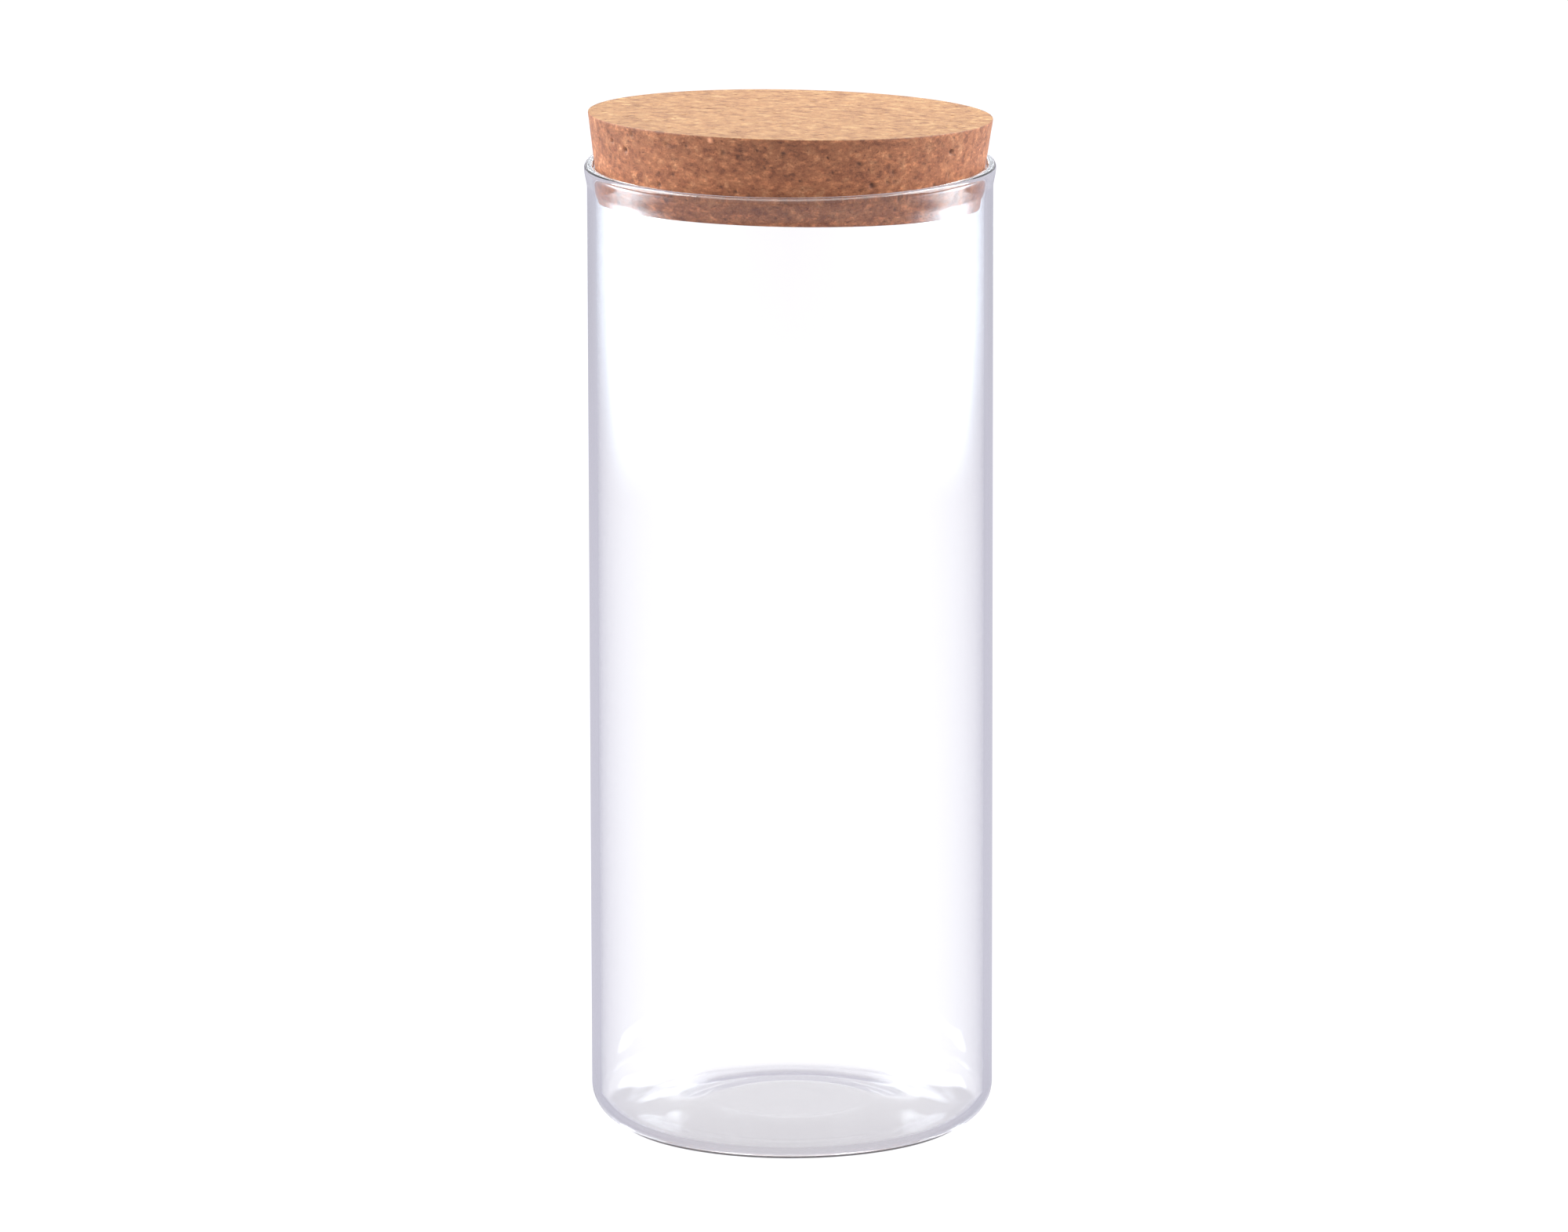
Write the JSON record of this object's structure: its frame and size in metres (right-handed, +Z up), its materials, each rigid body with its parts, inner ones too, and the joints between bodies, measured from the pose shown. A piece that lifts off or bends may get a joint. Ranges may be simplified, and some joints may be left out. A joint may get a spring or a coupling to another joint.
{
  "type": "specimen jar",
  "caption": "Tall straight-sided clear glass jar with a rounded base and a tapered agglomerated-cork stopper pressed into its fire-polished mouth.",
  "frame": {"origin": "centre of the foot, on the surface that the jar stands on", "axes": "+Z up along the jar's own axis, -Y towards the front; the jar is round, and the seated stopper's top is a little higher at the front and left"},
  "size_m": [0.1014, 0.1014, 0.2562],
  "materials": {
    "glass": "gloss",
    "cork": "matte"
  },
  "bodies": {
    "jar": {"glass_jar": "glass"},
    "stopper": {"cork_stopper": "cork"}
  },
  "joints": [
    {"name": "stopper_lift", "type": "slide", "parent": "jar", "child": "stopper", "axis": [0, 0, 1], "range_m": [0, 0.12]}
  ]
}
